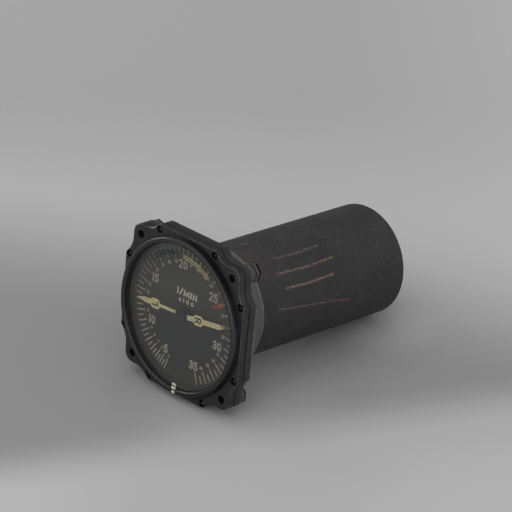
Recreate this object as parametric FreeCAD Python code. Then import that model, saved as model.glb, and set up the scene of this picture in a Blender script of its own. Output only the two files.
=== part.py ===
import FreeCAD, Part
import math
import os

# Dual tachometer for an instrument panel: two coaxial pointers read one scale, each
# turned by its own remote-indicating receiver inside a long cylindrical case.
# Lengths are in millimetres and angles in degrees. X is right as seen from the front,
# Y runs back into the case along the instrument's axis, and Z is up. The origin is the
# centre of the flange's front face, which lies against the back of the panel.

Vector = FreeCAD.Vector
AXIS = Vector(0, 1, 0)
overrun = 1.0
tolerance = 0.01

# Flange outline, shared by the bezel and the front casting
bolt_circle = 88.9
mount_hole_radius = 2.1
ear_radius = 5.17
rim_inset = 5.05
flat_margin = 1.6
neck_radius = 12.3
neck_drop = 2.73
flat_corner_radius = 1.0

# Bezel: a plate with a raised round rim that fills the panel's cut-out
bezel_plate = 4.0
plate_edge_break = 0.35
seam_break = 0.3
rim_height = 3.5
rim_wall = 1.2
rim_lip = 1.4
rim_outer_round = 1.1
rim_inner_round = 0.8
lip_underside = 1.2

# Eight bezel screws, sunk in the plate on both sides of each ear
screw_margin = 3.5
screw_offset_angle = 26.25
counterbore_radius = 1.95
counterbore_depth = 1.7
screw_head_radius = 1.7
screw_head_height = 1.2
screw_shank_radius = 0.95
screw_hole_clearance = 0.1
screw_thread_depth = 3.6
slot_width = 0.5
slot_depth = 0.6
slot_turn = 47.0

# Glass, its gasket and the ring that holds it off the dial
gasket_overhang = 0.5
gasket_thickness = 0.3
glass_clearance = 0.2
glass_thickness = 2.0
spacer_wall = 1.2
spacer_clearance = 0.1
dial_depth = 2.8

# Dial and the carrier plate that holds it and the mechanism
dial_clearance = 0.3
dial_thickness = 0.8
dial_hole_radius = 3.1
carrier_thickness = 2.0

# Right engine's pointer, in front, and its hub
pointer_thickness = 0.4
right_standoff = 0.65
right_angle = 81.4
right_shortfall = 2.9
right_tip_length = 3.8
right_arm_width = 2.5
right_block_start = 7.6
right_block_length = 7.0
right_block_width = 5.2
right_block_chamfer = 1.5
right_disc_radius = 3.0
right_hub_radius = 1.9
right_hub_stem = 1.2
hub_glass_gap = 0.25

# Left engine's pointer, behind it, and its hub
left_lift = 0.5
left_angle = 266.2
left_tip_gap = 4.3
left_tip_length = 5.0
left_arm_width = 1.5
left_body_width = 2.7
left_block_start_share = 0.517
left_block_length = 6.6
left_block_width = 5.2
left_block_chamfer = 1.2
left_disc_radius = 4.2
left_hub_radius = 2.6
left_hub_stem = 2.0
left_hub_collar = 0.15
left_hub_tail = 1.6
hub_gap = 0.35

# Coaxial shafts: a thin one runs in the bore of a hollow one
shaft_radius = 1.5
thin_shaft_radius = 0.75
hollow_shaft_bore = 0.95
bush_clearance = 0.05
bush_length = 3.2

# Front casting: flange, four ear bosses and the cone that runs down to the case tube
flange_thickness = 4.5
cone_length = 19.0
cone_lip = 0.45
boss_length = 3.2
boss_inset = 0.47
carrier_seat_width = 2.0
tube_stop = 1.6
tube_engagement = 7.5
tube_fit = 0.02

# Mounting nuts, let into the ear bosses: one of full height and three thin ones
nut_across_flats = 8.6
nut_full_height = 2.6
nut_thin_height = 0.6
nut_chamfer = 0.2
nut_full_turn = 14.0
nut_thin_turns = (30.0, 44.0, 30.0)
nut_groove_radius = 4.1
nut_groove = 0.2
nut_spigot_radius = 3.0
nut_spigot_length = 1.5
nut_thread_radius = 1.73
nut_fit = 0.02

# Case tube, closed at the rear
case_radius = 28.43
case_wall = 1.6
case_rear_space = 25.0
case_end_wall = 2.0
case_edge_round = 0.9

# Receivers: the same unit twice, one behind the other
front_space = 7.3
unit_gap = 8.0
lead_space = 2.83
unit_wall = 1.4
end_plate = 3.0
spigot_length = 1.2
spigot_bore_share = 0.708
spigot_clearance = 0.05

# Stator of a receiver: a slotted ring of laminations and its winding
core_length = 18.0
core_clearance = 0.1
stator_yoke = 2.3
stator_slot_depth = 6.3
stator_slot_count = 12
stator_slot_width = 3.2
stator_mouth_width = 1.0
stator_tooth_lip = 1.2
stator_coil_clearance = 0.15
stator_coil_bulge = 0.4
stator_coil_end = 4.2

# Rotor of a receiver: a two-pole drum and the coil in its side slots
air_gap = 0.3
rotor_web_share = 0.368
rotor_lip_share = 0.78
rotor_coil_share = 0.632
rotor_coil_clearance = 0.3
rotor_coil_end = 2.0
rotor_block_gap = 0.6

# Shielded ball bearings, one in each end plate
bearing_radius = 5.5
bearing_width = 2.5
bearing_outer_wall = 1.1
bearing_inner_wall = 1.4
bearing_gap = 0.1
bearing_shield = 0.4

# Slip rings on each shaft and the brushes that feed the rotor
sleeve_wall = 1.3
slip_ring_wall = 1.2
slip_ring_width = 1.0
slip_ring_gap = 0.7
slip_ring_setback = 0.5
brush_width = 1.2
brush_gap = 0.1
brush_socket_depth = 1.5
brush_block_low = 8.0
brush_block_gap = 1.1
brush_block_half = 4.0

# Pillars between the carrier plate and the units, and the ring that steadies the rear unit
pillar_count = 4
pillar_first_angle = 45.0
pillar_inset = 5.0
pillar_radius = 2.0
pillar_stud_radius = 1.0
pillar_stud_length = 2.0
pillar_hole_clearance = 0.05
pillar_screw_head = 2.0
pillar_screw_length = 3.0
support_length = 3.0
support_clearance = 0.05

# Rear receptacle: shell with square flange, insert, contacts and fixing screws
receptacle_opening = 10.2
receptacle_barrel_clearance = 0.2
receptacle_barrel_inside = 5.0
receptacle_flange_half = 13.0
receptacle_flange = 2.4
receptacle_corner_radius = 2.0
receptacle_radius = 10.5
receptacle_bore = 9.0
receptacle_length = 11.6
insert_depth = 4.0
insert_clearance = 0.05
contact_radius = 0.8
contact_reach = 5.0
contact_tail = 2.5
contact_circle = 6.4
receptacle_screw_offset = 10.0
receptacle_screw_head = 1.8
receptacle_screw_head_height = 1.2
receptacle_screw_shank = 1.1

# Leads from the two units to the receptacle, one to each contact
leads_per_unit = 5
lead_radius = 0.45
lead_clearance = 0.1
lead_exit_inset = 3.4
lead_inside = 1.5
lead_straight = 0.6

# Places that follow from the sizes above
hole_offset = bolt_circle / 2 / math.sqrt(2)
ear_half = hole_offset + ear_radius
rim_radius = bolt_circle / 2 - rim_inset
flat_half = rim_radius + flat_margin
pocket_radius = rim_radius - rim_wall
rim_bore = pocket_radius - rim_lip
screw_circle_radius = rim_radius + screw_margin
gasket_bore = rim_bore - gasket_overhang
spacer_bore = pocket_radius - spacer_clearance - spacer_wall
left_length = rim_bore - left_tip_gap
left_block_start = left_length * left_block_start_share
right_length = left_length - right_shortfall
glass_front = gasket_thickness - lip_underside
glass_back = glass_front + glass_thickness
dial_front = glass_back + dial_depth
dial_back = dial_front + dial_thickness
carrier_back = dial_back + carrier_thickness
right_front = glass_back + right_standoff
left_back = dial_front - left_lift
left_front = left_back - pointer_thickness
left_hub_front = left_front - left_hub_collar
right_hub_front = glass_back + hub_glass_gap
flange_back = bezel_plate + flange_thickness
boss_back = flange_back + boss_length
cone_back = flange_back + cone_length
tube_start = cone_back - tube_engagement
case_bore = case_radius - case_wall
unit_radius = case_bore - lead_space
housing_bore = unit_radius - unit_wall
spigot_bore = housing_bore * spigot_bore_share
stator_slot_bottom = housing_bore - core_clearance - stator_yoke
core_bore = stator_slot_bottom - stator_slot_depth
rotor_radius = core_bore - air_gap
rotor_web_half = rotor_radius * rotor_web_share
rotor_coil_half = rotor_radius * rotor_coil_share
pillar_circle_radius = unit_radius - pillar_inset
lead_exit_radius = unit_radius - lead_exit_inset
slip_ring_run = 2 * slip_ring_width + slip_ring_gap + slip_ring_setback
block_front_space = spigot_length + slip_ring_run + slip_ring_width
core_end_space = block_front_space + rotor_block_gap + rotor_coil_end
housing_length = core_length + 2 * core_end_space
unit_length = 2 * end_plate + housing_length
front_unit_start = carrier_back + front_space
front_unit_end = front_unit_start + unit_length
rear_unit_start = front_unit_end + unit_gap
rear_unit_end = rear_unit_start + unit_length
case_end = rear_unit_end + case_rear_space
hollow_shaft_end = front_unit_end + slip_ring_gap
insert_start = case_end - case_end_wall - receptacle_barrel_inside
insert_face = case_end + insert_depth
contact_start = insert_start - contact_tail
contact_tip = insert_face + contact_reach
receptacle_flange_end = case_end + receptacle_flange
receptacle_end = receptacle_flange_end + receptacle_length


def disc(radius, start, end):
    """Solid cylinder on the instrument's axis."""
    return Part.makeCylinder(radius, end - start, Vector(0, start, 0), AXIS)


def ring(outer, inner, start, end):
    """Plain ring on the instrument's axis."""
    return disc(outer, start, end).cut(disc(inner, start - overrun, end + overrun))


def rod(radius, place, start, end):
    """Cylinder parallel to the axis, at an (x, z) place on the face."""
    return Part.makeCylinder(radius, end - start, Vector(place[0], start, place[1]), AXIS)


def block(x0, x1, y0, y1, z0, z1):
    """Box between six planes."""
    return Part.makeBox(x1 - x0, y1 - y0, z1 - z0, Vector(x0, y0, z0))


def on_circle(radius, angle):
    """Place on a circle round the axis, the angle counted anticlockwise from +X."""
    turn = math.radians(angle)
    return radius * math.cos(turn), radius * math.sin(turn)


def around(count, first=0.0):
    """Evenly spaced angles round the axis."""
    return [first + 360 * k / count for k in range(count)]


def line(start, end):
    """Straight edge between two (radius, depth) places."""
    return Part.LineSegment(Vector(*start, 0), Vector(*end, 0)).toShape()


def arc(start, middle, end):
    """Arc edge through three (radius, depth) places."""
    return Part.Arc(Vector(*start, 0), Vector(*middle, 0), Vector(*end, 0)).toShape()


def round_edge(centre, radius, from_angle, to_angle):
    """Arc edge round a (radius, depth) centre between two angles."""
    places = []
    for angle in (from_angle, (from_angle + to_angle) / 2, to_angle):
        across, along = on_circle(radius, angle)
        places.append((centre[0] + across, centre[1] + along))
    return arc(*places)


def spun(edges):
    """Solid turned round the axis from a closed run of (radius, depth) edges."""
    return Part.Face(Part.Wire(edges)).revolve(Vector(0, 0, 0), AXIS, 360)


def spun_polygon(points):
    """Solid turned round the axis from the corners of a (radius, depth) polygon."""
    return spun([line(a, b) for a, b in zip(points, points[1:] + points[:1])])


def slotted_screw(place, head_radius, shank_radius, seat, top, tip, turn):
    """Cheese-head screw from its head's seat and slotted top to the tip of its shank."""
    outward = 1 if top > seat else -1
    middle = (seat + top) / 2
    screw = rod(head_radius, place, min(seat, top), max(seat, top))
    screw = screw.fuse(rod(shank_radius, place, min(middle, tip), max(middle, tip)))
    reach = head_radius + overrun
    low, high = sorted((top - outward * slot_depth, top + outward * overrun))
    slot = block(-reach, reach, low, high, -slot_width / 2, slot_width / 2)
    slot.rotate(Vector(0, 0, 0), AXIS, turn)
    slot.translate(Vector(place[0], 0, place[1]))
    return screw.cut(slot).removeSplitter()


def ear_places():
    """Centres of the four mounting holes."""
    return [(sx * hole_offset, sz * hole_offset) for sx in (1, -1) for sz in (1, -1)]


def bezel_screw_places():
    """Centres of the bezel screws, one on each side of every ear."""
    return [on_circle(screw_circle_radius, middle + side * screw_offset_angle)
            for middle in around(4) for side in (-1, 1)]


def pillar_places():
    return [on_circle(pillar_circle_radius, angle)
            for angle in around(pillar_count, pillar_first_angle)]


def receptacle_screw_places():
    """Centres of the screws at the corners of the receptacle's flange."""
    return [(sx * receptacle_screw_offset, sz * receptacle_screw_offset)
            for sx in (1, -1) for sz in (1, -1)]


def contact_angles(unit):
    """Angles of the contacts and leads that serve the front unit (0) or the rear unit (1)."""
    every = around(2 * leads_per_unit)
    return every[unit * leads_per_unit:(unit + 1) * leads_per_unit]


def contact_places():
    return [on_circle(contact_circle, angle)
            for unit in (0, 1) for angle in contact_angles(unit)]


def flange_outline(depth):
    """Closed outline of the flange: flats at the sides, ears at the corners, necks between."""
    neck_start = hole_offset - neck_drop
    neck_centre = ear_half + neck_radius
    neck_sweep = math.degrees(math.acos((neck_centre - flat_half) / neck_radius))
    flat_end = neck_start - neck_radius * math.sin(math.radians(neck_sweep))
    bend_x, bend_z = on_circle(neck_radius, 180 + neck_sweep / 2)
    neck_middle = (neck_centre + bend_x, neck_start + bend_z)
    ear_middle = hole_offset + ear_radius / math.sqrt(2)
    quarter = [
        [(flat_half, -flat_end), (flat_half, flat_end)],
        [(flat_half, flat_end), neck_middle, (ear_half, neck_start)],
        [(ear_half, neck_start), (ear_half, hole_offset)],
        [(ear_half, hole_offset), (ear_middle, ear_middle), (hole_offset, ear_half)],
        [(hole_offset, ear_half), (neck_start, ear_half)],
        [(neck_start, ear_half), neck_middle[::-1], (flat_end, flat_half)],
    ]
    edges = []
    for turn in around(4):
        for run in quarter:
            places = [Vector(x, depth, z) for x, z in run]
            curve = Part.LineSegment(*places) if len(run) == 2 else Part.Arc(*places)
            edge = curve.toShape()
            edge.rotate(Vector(0, 0, 0), AXIS, -turn)
            edges.append(edge)
    return Part.Wire(edges)


def flange_block(start, end, front_break):
    """The flange outline as a plate with rounded corners and a chamfer round its front."""
    plate = Part.Face(flange_outline(start)).extrude(Vector(0, end - start, 0))
    corners = []
    for edge in plate.Edges:
        first, last = edge.Vertexes[0].Point, edge.Vertexes[-1].Point
        upright = abs(first.y - last.y) > (end - start) / 2
        on_flat = abs(max(abs(first.x), abs(first.z)) - flat_half) < tolerance
        if upright and on_flat:
            corners.append(edge)
    plate = plate.makeFillet(flat_corner_radius, corners)
    return plate.makeChamfer(front_break, edges_near(plate, start))


def edges_near(plate, depth):
    """Edges that lie wholly in the plane at a depth."""
    return [edge for edge in plate.Edges
            if all(abs(vertex.Point.y - depth) < tolerance for vertex in edge.Vertexes)]


def bezel():
    plate = flange_block(0, bezel_plate, plate_edge_break)
    plate = plate.makeChamfer(seam_break, edges_near(plate, bezel_plate))
    plate = plate.cut(disc(rim_bore, -overrun, bezel_plate + overrun))
    inner_centre = (rim_bore + rim_inner_round, rim_inner_round - rim_height)
    outer_centre = (rim_radius - rim_outer_round, rim_outer_round - rim_height)
    rim = spun([
        line((rim_bore, bezel_plate / 2), (rim_bore, inner_centre[1])),
        round_edge(inner_centre, rim_inner_round, 180, 270),
        line((inner_centre[0], -rim_height), (outer_centre[0], -rim_height)),
        round_edge(outer_centre, rim_outer_round, 270, 360),
        line((rim_radius, outer_centre[1]), (rim_radius, bezel_plate / 2)),
        line((rim_radius, bezel_plate / 2), (rim_bore, bezel_plate / 2)),
    ])
    body = plate.fuse(rim).cut(disc(pocket_radius, -lip_underside, bezel_plate + overrun))
    for place in ear_places():
        body = body.cut(rod(mount_hole_radius, place, -overrun, bezel_plate + overrun))
    shank_hole = screw_shank_radius + screw_hole_clearance
    for place in bezel_screw_places():
        body = body.cut(rod(counterbore_radius, place, -overrun, counterbore_depth))
        body = body.cut(rod(shank_hole, place, -overrun, bezel_plate + overrun))
    return body.removeSplitter()


def bezel_screws():
    top = counterbore_depth - screw_head_height
    tip = bezel_plate + screw_thread_depth
    screws = [slotted_screw(place, screw_head_radius, screw_shank_radius,
                            counterbore_depth, top, tip, slot_turn * k)
              for k, place in enumerate(bezel_screw_places())]
    return Part.makeCompound(screws)


def carrier_plate():
    plate = ring(pocket_radius - dial_clearance, dial_hole_radius, dial_back, carrier_back)
    shank_hole = pillar_stud_radius + pillar_hole_clearance
    head_hole = pillar_screw_head + pillar_hole_clearance
    head_seat = dial_back + carrier_thickness / 2
    for place in pillar_places():
        plate = plate.cut(rod(shank_hole, place, dial_back - overrun, carrier_back + overrun))
        plate = plate.cut(rod(head_hole, place, dial_back - overrun, head_seat))
    return plate


def pillar_screws():
    seat = dial_back + carrier_thickness / 2
    tip = carrier_back + pillar_screw_length
    screws = [slotted_screw(place, pillar_screw_head, pillar_stud_radius, seat, dial_back, tip, 0)
              for place in pillar_places()]
    return Part.makeCompound(screws)


def front_pillars():
    pillars = []
    hole = pillar_stud_radius + pillar_hole_clearance
    hole_end = carrier_back + pillar_screw_length + pillar_hole_clearance
    stud_end = front_unit_start + pillar_stud_length
    for place in pillar_places():
        pillar = rod(pillar_radius, place, carrier_back, front_unit_start)
        pillar = pillar.cut(rod(hole, place, carrier_back - overrun, hole_end))
        stud = rod(pillar_stud_radius, place, front_unit_start, stud_end)
        pillars.append(pillar.fuse(stud).removeSplitter())
    return Part.makeCompound(pillars)


def middle_pillars():
    pillars = []
    for place in pillar_places():
        pillar = rod(pillar_radius, place, front_unit_end, rear_unit_start)
        stud = rod(pillar_stud_radius, place, front_unit_end - pillar_stud_length,
                   rear_unit_start + pillar_stud_length)
        pillars.append(pillar.fuse(stud).removeSplitter())
    return Part.makeCompound(pillars)


def pointer(outline, disc_radius, hole_radius, front, angle):
    """Pointer cut from sheet, from half its outline as (distance from the axis, half width).

    It is drawn pointing up and then turned clockwise, as seen from the front.
    """
    right_side = [Vector(half, front, far) for far, half in outline]
    left_side = [Vector(-half, front, far) for far, half in reversed(outline) if half > 0]
    loop = right_side + left_side + right_side[:1]
    sheet = Part.Face(Part.makePolygon(loop)).extrude(Vector(0, pointer_thickness, 0))
    sheet = sheet.fuse(disc(disc_radius, front, front + pointer_thickness))
    sheet = sheet.cut(disc(hole_radius, front - overrun, front + pointer_thickness + overrun))
    sheet.rotate(Vector(0, 0, 0), AXIS, angle)
    return sheet.removeSplitter()


def pointer_right():
    arm = right_arm_width / 2
    block_half = right_block_width / 2
    block_end = right_block_start + right_block_length
    outline = [
        (0, arm),
        (right_block_start, arm),
        (right_block_start + right_block_chamfer, block_half),
        (block_end - right_block_chamfer, block_half),
        (block_end, arm),
        (right_length - right_tip_length, arm),
        (right_length, 0),
    ]
    return pointer(outline, right_disc_radius, right_hub_stem, right_front, right_angle)


def pointer_left():
    arm = left_arm_width / 2
    body = left_body_width / 2
    block_half = left_block_width / 2
    block_end = left_block_start + left_block_length
    outline = [
        (0, arm),
        (left_block_start, arm),
        (left_block_start + left_block_chamfer, block_half),
        (block_end - left_block_chamfer, block_half),
        (block_end, body),
        (left_length - left_tip_length, body),
        (left_length, 0),
    ]
    return pointer(outline, left_disc_radius, left_hub_stem, left_front, left_angle)


def pointer_hub(bore, stem, radius, front, pointer_front, back):
    """Bush whose waist, as long as the sheet is thick, is closed over the pointer's hole."""
    pointer_back = pointer_front + pointer_thickness
    return spun_polygon([
        (bore, front),
        (radius, front),
        (radius, pointer_front),
        (stem, pointer_front),
        (stem, pointer_back),
        (radius, pointer_back),
        (radius, back),
        (bore, back),
    ])


def long_shaft():
    """Right pointer's shaft: thin through the front unit, full size in the rear one."""
    step = hollow_shaft_end + slip_ring_gap
    thin = disc(thin_shaft_radius, right_hub_front, step)
    return thin.fuse(disc(shaft_radius, step, rear_unit_end + slip_ring_gap)).removeSplitter()


def case_front():
    lip = case_radius + cone_lip
    slope = (flat_half - lip) / cone_length
    cone_wall = flat_half - pocket_radius + carrier_seat_width
    shoulder_depth = tube_start - tube_stop
    shoulder = flat_half - slope * (shoulder_depth - flange_back)
    body = flange_block(bezel_plate, flange_back, seam_break)
    body = body.fuse(spun_polygon([
        (0, bezel_plate),
        (pocket_radius, bezel_plate),
        (flat_half, flange_back),
        (lip, cone_back),
        (0, cone_back),
    ]))
    for place in ear_places():
        body = body.fuse(rod(ear_radius - boss_inset, place, flange_back - overrun, boss_back))
    body = body.cut(spun_polygon([
        (0, bezel_plate - overrun),
        (pocket_radius, bezel_plate - overrun),
        (pocket_radius, carrier_back),
        (flat_half - cone_wall, carrier_back),
        (flat_half - cone_wall, flange_back),
        (shoulder - cone_wall, shoulder_depth),
        (case_bore, shoulder_depth),
        (case_bore, tube_start),
        (case_radius + tube_fit, tube_start),
        (case_radius + tube_fit, cone_back + overrun),
        (0, cone_back + overrun),
    ]))
    spigot_hole = nut_spigot_radius + nut_fit
    for place in ear_places():
        body = body.cut(rod(mount_hole_radius, place, bezel_plate - overrun, boss_back + overrun))
        body = body.cut(rod(spigot_hole, place, boss_back - nut_spigot_length, boss_back + overrun))
    thread_end = bezel_plate + screw_thread_depth
    for place in bezel_screw_places():
        body = body.cut(rod(screw_shank_radius, place, bezel_plate - overrun, thread_end))
    return body.removeSplitter()


def mounting_nut(place, turn, height):
    """Nut with a hexagon behind the boss and a round spigot let into it."""
    hex_front = boss_back + nut_groove
    hex_back = hex_front + height
    spigot_end = boss_back - nut_spigot_length
    flat = nut_across_flats / 2
    corner = flat / math.cos(math.radians(30))
    corners = [on_circle(corner, angle) for angle in around(6, turn)]
    outline = [Vector(place[0] + x, hex_front, place[1] + z) for x, z in corners]
    nut = Part.Face(Part.makePolygon(outline + outline[:1])).extrude(Vector(0, height, 0))
    turned = Part.makeCone(corner - nut_chamfer + height, corner - nut_chamfer, height,
                           Vector(place[0], hex_front, place[1]), AXIS)
    nut = nut.common(turned)
    nut = nut.fuse(rod(nut_groove_radius, place, boss_back, hex_front))
    nut = nut.fuse(rod(nut_spigot_radius, place, spigot_end, hex_front))
    nut = nut.cut(rod(nut_thread_radius, place, spigot_end - overrun, hex_back + overrun))
    return nut.removeSplitter()


def mounting_nuts():
    full_place, *thin_places = ear_places()
    nuts = [mounting_nut(full_place, nut_full_turn, nut_full_height)]
    for place, turn in zip(thin_places, nut_thin_turns):
        nuts.append(mounting_nut(place, turn, nut_thin_height))
    return Part.makeCompound(nuts)


def case_tube():
    floor = case_end - case_end_wall
    edge_centre = (case_radius - case_edge_round, case_end - case_edge_round)
    tube = spun([
        line((case_bore, tube_start), (case_radius, tube_start)),
        line((case_radius, tube_start), (case_radius, edge_centre[1])),
        round_edge(edge_centre, case_edge_round, 0, 90),
        line((edge_centre[0], case_end), (receptacle_opening, case_end)),
        line((receptacle_opening, case_end), (receptacle_opening, floor)),
        line((receptacle_opening, floor), (case_bore, floor)),
        line((case_bore, floor), (case_bore, tube_start)),
    ])
    for place in receptacle_screw_places():
        tube = tube.cut(rod(receptacle_screw_shank, place, floor - overrun, case_end + overrun))
    return tube


def unit_end_plate(low, inward, lead_angles):
    """End plate of a receiver; inward is +1 where the unit lies behind the plate, else -1."""
    high = low + end_plate
    spigot_radius = housing_bore - spigot_clearance
    plate = ring(unit_radius, bearing_radius - bearing_outer_wall, low, high)
    if inward > 0:
        plate = plate.fuse(ring(spigot_radius, spigot_bore, high, high + spigot_length))
        plate = plate.cut(disc(bearing_radius, low - overrun, low + bearing_width))
    else:
        plate = plate.fuse(ring(spigot_radius, spigot_bore, low - spigot_length, low))
        plate = plate.cut(disc(bearing_radius, high - bearing_width, high + overrun))
    beyond = spigot_length + overrun
    stud_hole = pillar_stud_radius + pillar_hole_clearance
    for place in pillar_places():
        plate = plate.cut(rod(stud_hole, place, low - beyond, high + beyond))
    for angle in lead_angles:
        place = on_circle(lead_exit_radius, angle)
        plate = plate.cut(rod(lead_radius + lead_clearance, place, low - beyond, high + beyond))
    return plate.removeSplitter()


def core_ends(start):
    """Front and back faces of a unit's stator and rotor cores."""
    low = start + end_plate + core_end_space
    return low, low + core_length


def slot_filling(low, high, clearance):
    """Inside of the stator slot that points up, shrunk all round by a clearance."""
    half = stator_slot_width / 2 - clearance
    top = core_bore + stator_tooth_lip + clearance
    return block(-half, half, low, high, top, stator_slot_bottom - clearance)


def stator_core(start):
    low, high = core_ends(start)
    core = ring(housing_bore - core_clearance, core_bore, low, high)
    slot = slot_filling(low - overrun, high + overrun, 0)
    mouth_half = stator_mouth_width / 2
    mouth_top = core_bore + stator_tooth_lip + overrun
    mouth = block(-mouth_half, mouth_half, low - overrun, high + overrun, 0, mouth_top)
    slot = slot.fuse(mouth)
    for angle in around(stator_slot_count):
        turned = slot.copy()
        turned.rotate(Vector(0, 0, 0), AXIS, angle)
        core = core.cut(turned)
    return core


def stator_winding(start):
    """Winding as one body: a bar in every slot and a ring of end turns at each end."""
    low, high = core_ends(start)
    outer = stator_slot_bottom + stator_coil_bulge
    inner = core_bore + stator_tooth_lip
    winding = ring(outer, inner, low - stator_coil_end, low - stator_coil_clearance)
    winding = winding.fuse(ring(outer, inner, high + stator_coil_clearance, high + stator_coil_end))
    reach = stator_coil_end / 2
    bar = slot_filling(low - reach, high + reach, stator_coil_clearance)
    for angle in around(stator_slot_count):
        turned = bar.copy()
        turned.rotate(Vector(0, 0, 0), AXIS, angle)
        winding = winding.fuse(turned)
    return winding.removeSplitter()


def rotor_window_half():
    """Half height of the rotor's side slots, under the lips of its two poles."""
    lip = rotor_radius * rotor_lip_share
    return math.sqrt(lip ** 2 - rotor_coil_half ** 2)


def rotor_core(start):
    """Two-pole drum with a slot down each side for the coil."""
    low, high = core_ends(start)
    half = rotor_window_half()
    core = ring(rotor_radius, shaft_radius, low, high)
    for side in (1, -1):
        near, far = sorted((side * rotor_web_half, side * (rotor_radius + overrun)))
        core = core.cut(block(near, far, low - overrun, high + overrun, -half, half))
    return core


def rotor_coil(start):
    """Coil round the rotor's web, open in the middle for the web and the shaft."""
    low, high = core_ends(start)
    front, back = low - rotor_coil_end, high + rotor_coil_end
    half = rotor_window_half() - rotor_coil_clearance
    beyond = half + overrun
    inner = rotor_web_half + rotor_coil_clearance
    coil = block(-rotor_coil_half, rotor_coil_half, front, back, -half, half)
    coil = coil.cut(block(-inner, inner, low - rotor_coil_clearance, high + rotor_coil_clearance,
                          -beyond, beyond))
    return coil.cut(disc(shaft_radius + sleeve_wall, front - overrun, back + overrun))


def bearing_fronts(start):
    return start, start + unit_length - bearing_width


def bearing_outers(start):
    """Outer races, each with a shield at both faces that hides the balls."""
    races = []
    clear = shaft_radius + bearing_inner_wall + bearing_gap
    groove = bearing_radius - bearing_outer_wall
    for low in bearing_fronts(start):
        high = low + bearing_width
        races.append(spun_polygon([
            (clear, low),
            (bearing_radius, low),
            (bearing_radius, high),
            (clear, high),
            (clear, high - bearing_shield),
            (groove, high - bearing_shield),
            (groove, low + bearing_shield),
            (clear, low + bearing_shield),
        ]))
    return Part.makeCompound(races)


def bearing_inners(start):
    races = [ring(shaft_radius + bearing_inner_wall, shaft_radius, low, low + bearing_width)
             for low in bearing_fronts(start)]
    return Part.makeCompound(races)


def slip_ring_fronts(start):
    """Front faces of a unit's two slip rings, just inside its rear end plate."""
    front = start + unit_length - end_plate - spigot_length - slip_ring_run
    return front, front + slip_ring_width + slip_ring_gap


def slip_ring_sleeve(start):
    first, last = slip_ring_fronts(start)
    end = last + slip_ring_width + slip_ring_setback
    return ring(shaft_radius + sleeve_wall, shaft_radius, first - slip_ring_setback, end)


def slip_rings(start):
    inner = shaft_radius + sleeve_wall
    rings = [ring(inner + slip_ring_wall, inner, front, front + slip_ring_width)
             for front in slip_ring_fronts(start)]
    return Part.makeCompound(rings)


def brush_boxes(start, clearance):
    """The two brushes as boxes, or with a clearance the sockets that hold them."""
    half = brush_width / 2 + clearance
    low = shaft_radius + sleeve_wall + slip_ring_wall + brush_gap
    high = brush_block_low + brush_socket_depth
    return [block(-half, half, front - clearance, front + slip_ring_width + clearance, low, high)
            for front in slip_ring_fronts(start)]


def brush_block(start):
    """Insulating block on the inside of the rear end plate, with a socket for each brush."""
    rear = start + unit_length - end_plate
    front = rear - block_front_space
    top = core_bore + stator_tooth_lip - brush_block_gap
    body = block(-brush_block_half, brush_block_half, front, rear, brush_block_low, top)
    for socket in brush_boxes(start, brush_gap / 2):
        body = body.cut(socket)
    return body


def lead_channel_radius():
    """Middle of the space between the rear unit's housing and the case."""
    return (unit_radius + case_bore) / 2


def rear_support_ring():
    start = rear_unit_end - support_length
    body = ring(case_bore - support_clearance, unit_radius + support_clearance,
                start, rear_unit_end)
    hole = lead_radius + lead_clearance
    for angle in contact_angles(0):
        place = on_circle(lead_channel_radius(), angle)
        body = body.cut(rod(hole, place, start - overrun, rear_unit_end + overrun))
    return body


def receptacle_shell():
    half = receptacle_flange_half
    flange = block(-half, half, case_end, receptacle_flange_end, -half, half)
    upright = [edge for edge in flange.Edges
               if abs(edge.Vertexes[0].Point.y - edge.Vertexes[-1].Point.y) > receptacle_flange / 2]
    body = flange.makeFillet(receptacle_corner_radius, upright)
    barrel = receptacle_opening - receptacle_barrel_clearance
    body = body.fuse(disc(receptacle_radius, case_end, receptacle_end))
    body = body.fuse(disc(barrel, insert_start, receptacle_flange_end))
    body = body.cut(disc(receptacle_bore, insert_start - overrun, receptacle_end + overrun))
    hole_end = receptacle_flange_end + overrun
    for place in receptacle_screw_places():
        body = body.cut(rod(receptacle_screw_shank, place, case_end - overrun, hole_end))
    return body.removeSplitter()


def receptacle_insert():
    body = disc(receptacle_bore - insert_clearance, insert_start, insert_face)
    hole = contact_radius + insert_clearance
    for place in contact_places():
        body = body.cut(rod(hole, place, insert_start - overrun, insert_face + overrun))
    return body


def receptacle_contacts():
    pins = []
    shoulder = contact_tip - contact_radius
    for place in contact_places():
        tip = Part.makeCone(contact_radius, contact_radius / 2, contact_radius,
                            Vector(place[0], shoulder, place[1]), AXIS)
        pin = rod(contact_radius, place, contact_start, shoulder).fuse(tip)
        pins.append(pin.removeSplitter())
    return Part.makeCompound(pins)


def receptacle_screws():
    top = receptacle_flange_end + receptacle_screw_head_height
    tip = case_end - case_end_wall
    screws = [slotted_screw(place, receptacle_screw_head, receptacle_screw_shank,
                            receptacle_flange_end, top, tip, 0)
              for place in receptacle_screw_places()]
    return Part.makeCompound(screws)


def s_bend(start, end):
    """Two equal arcs between (radius, depth) places that leave and arrive along the axis."""
    across = end[0] - start[0]
    along = end[1] - start[1]
    radius = (across ** 2 + along ** 2) / (4 * abs(across))
    half_turn = math.atan2(abs(across), along)
    aside = math.copysign(radius * (1 - math.cos(half_turn)), across)
    ahead = radius * math.sin(half_turn)
    middle = ((start[0] + end[0]) / 2, (start[1] + end[1]) / 2)
    return [
        arc(start, (start[0] + aside, start[1] + ahead), middle),
        arc(middle, (end[0] - aside, end[1] - ahead), end),
    ]


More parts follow.
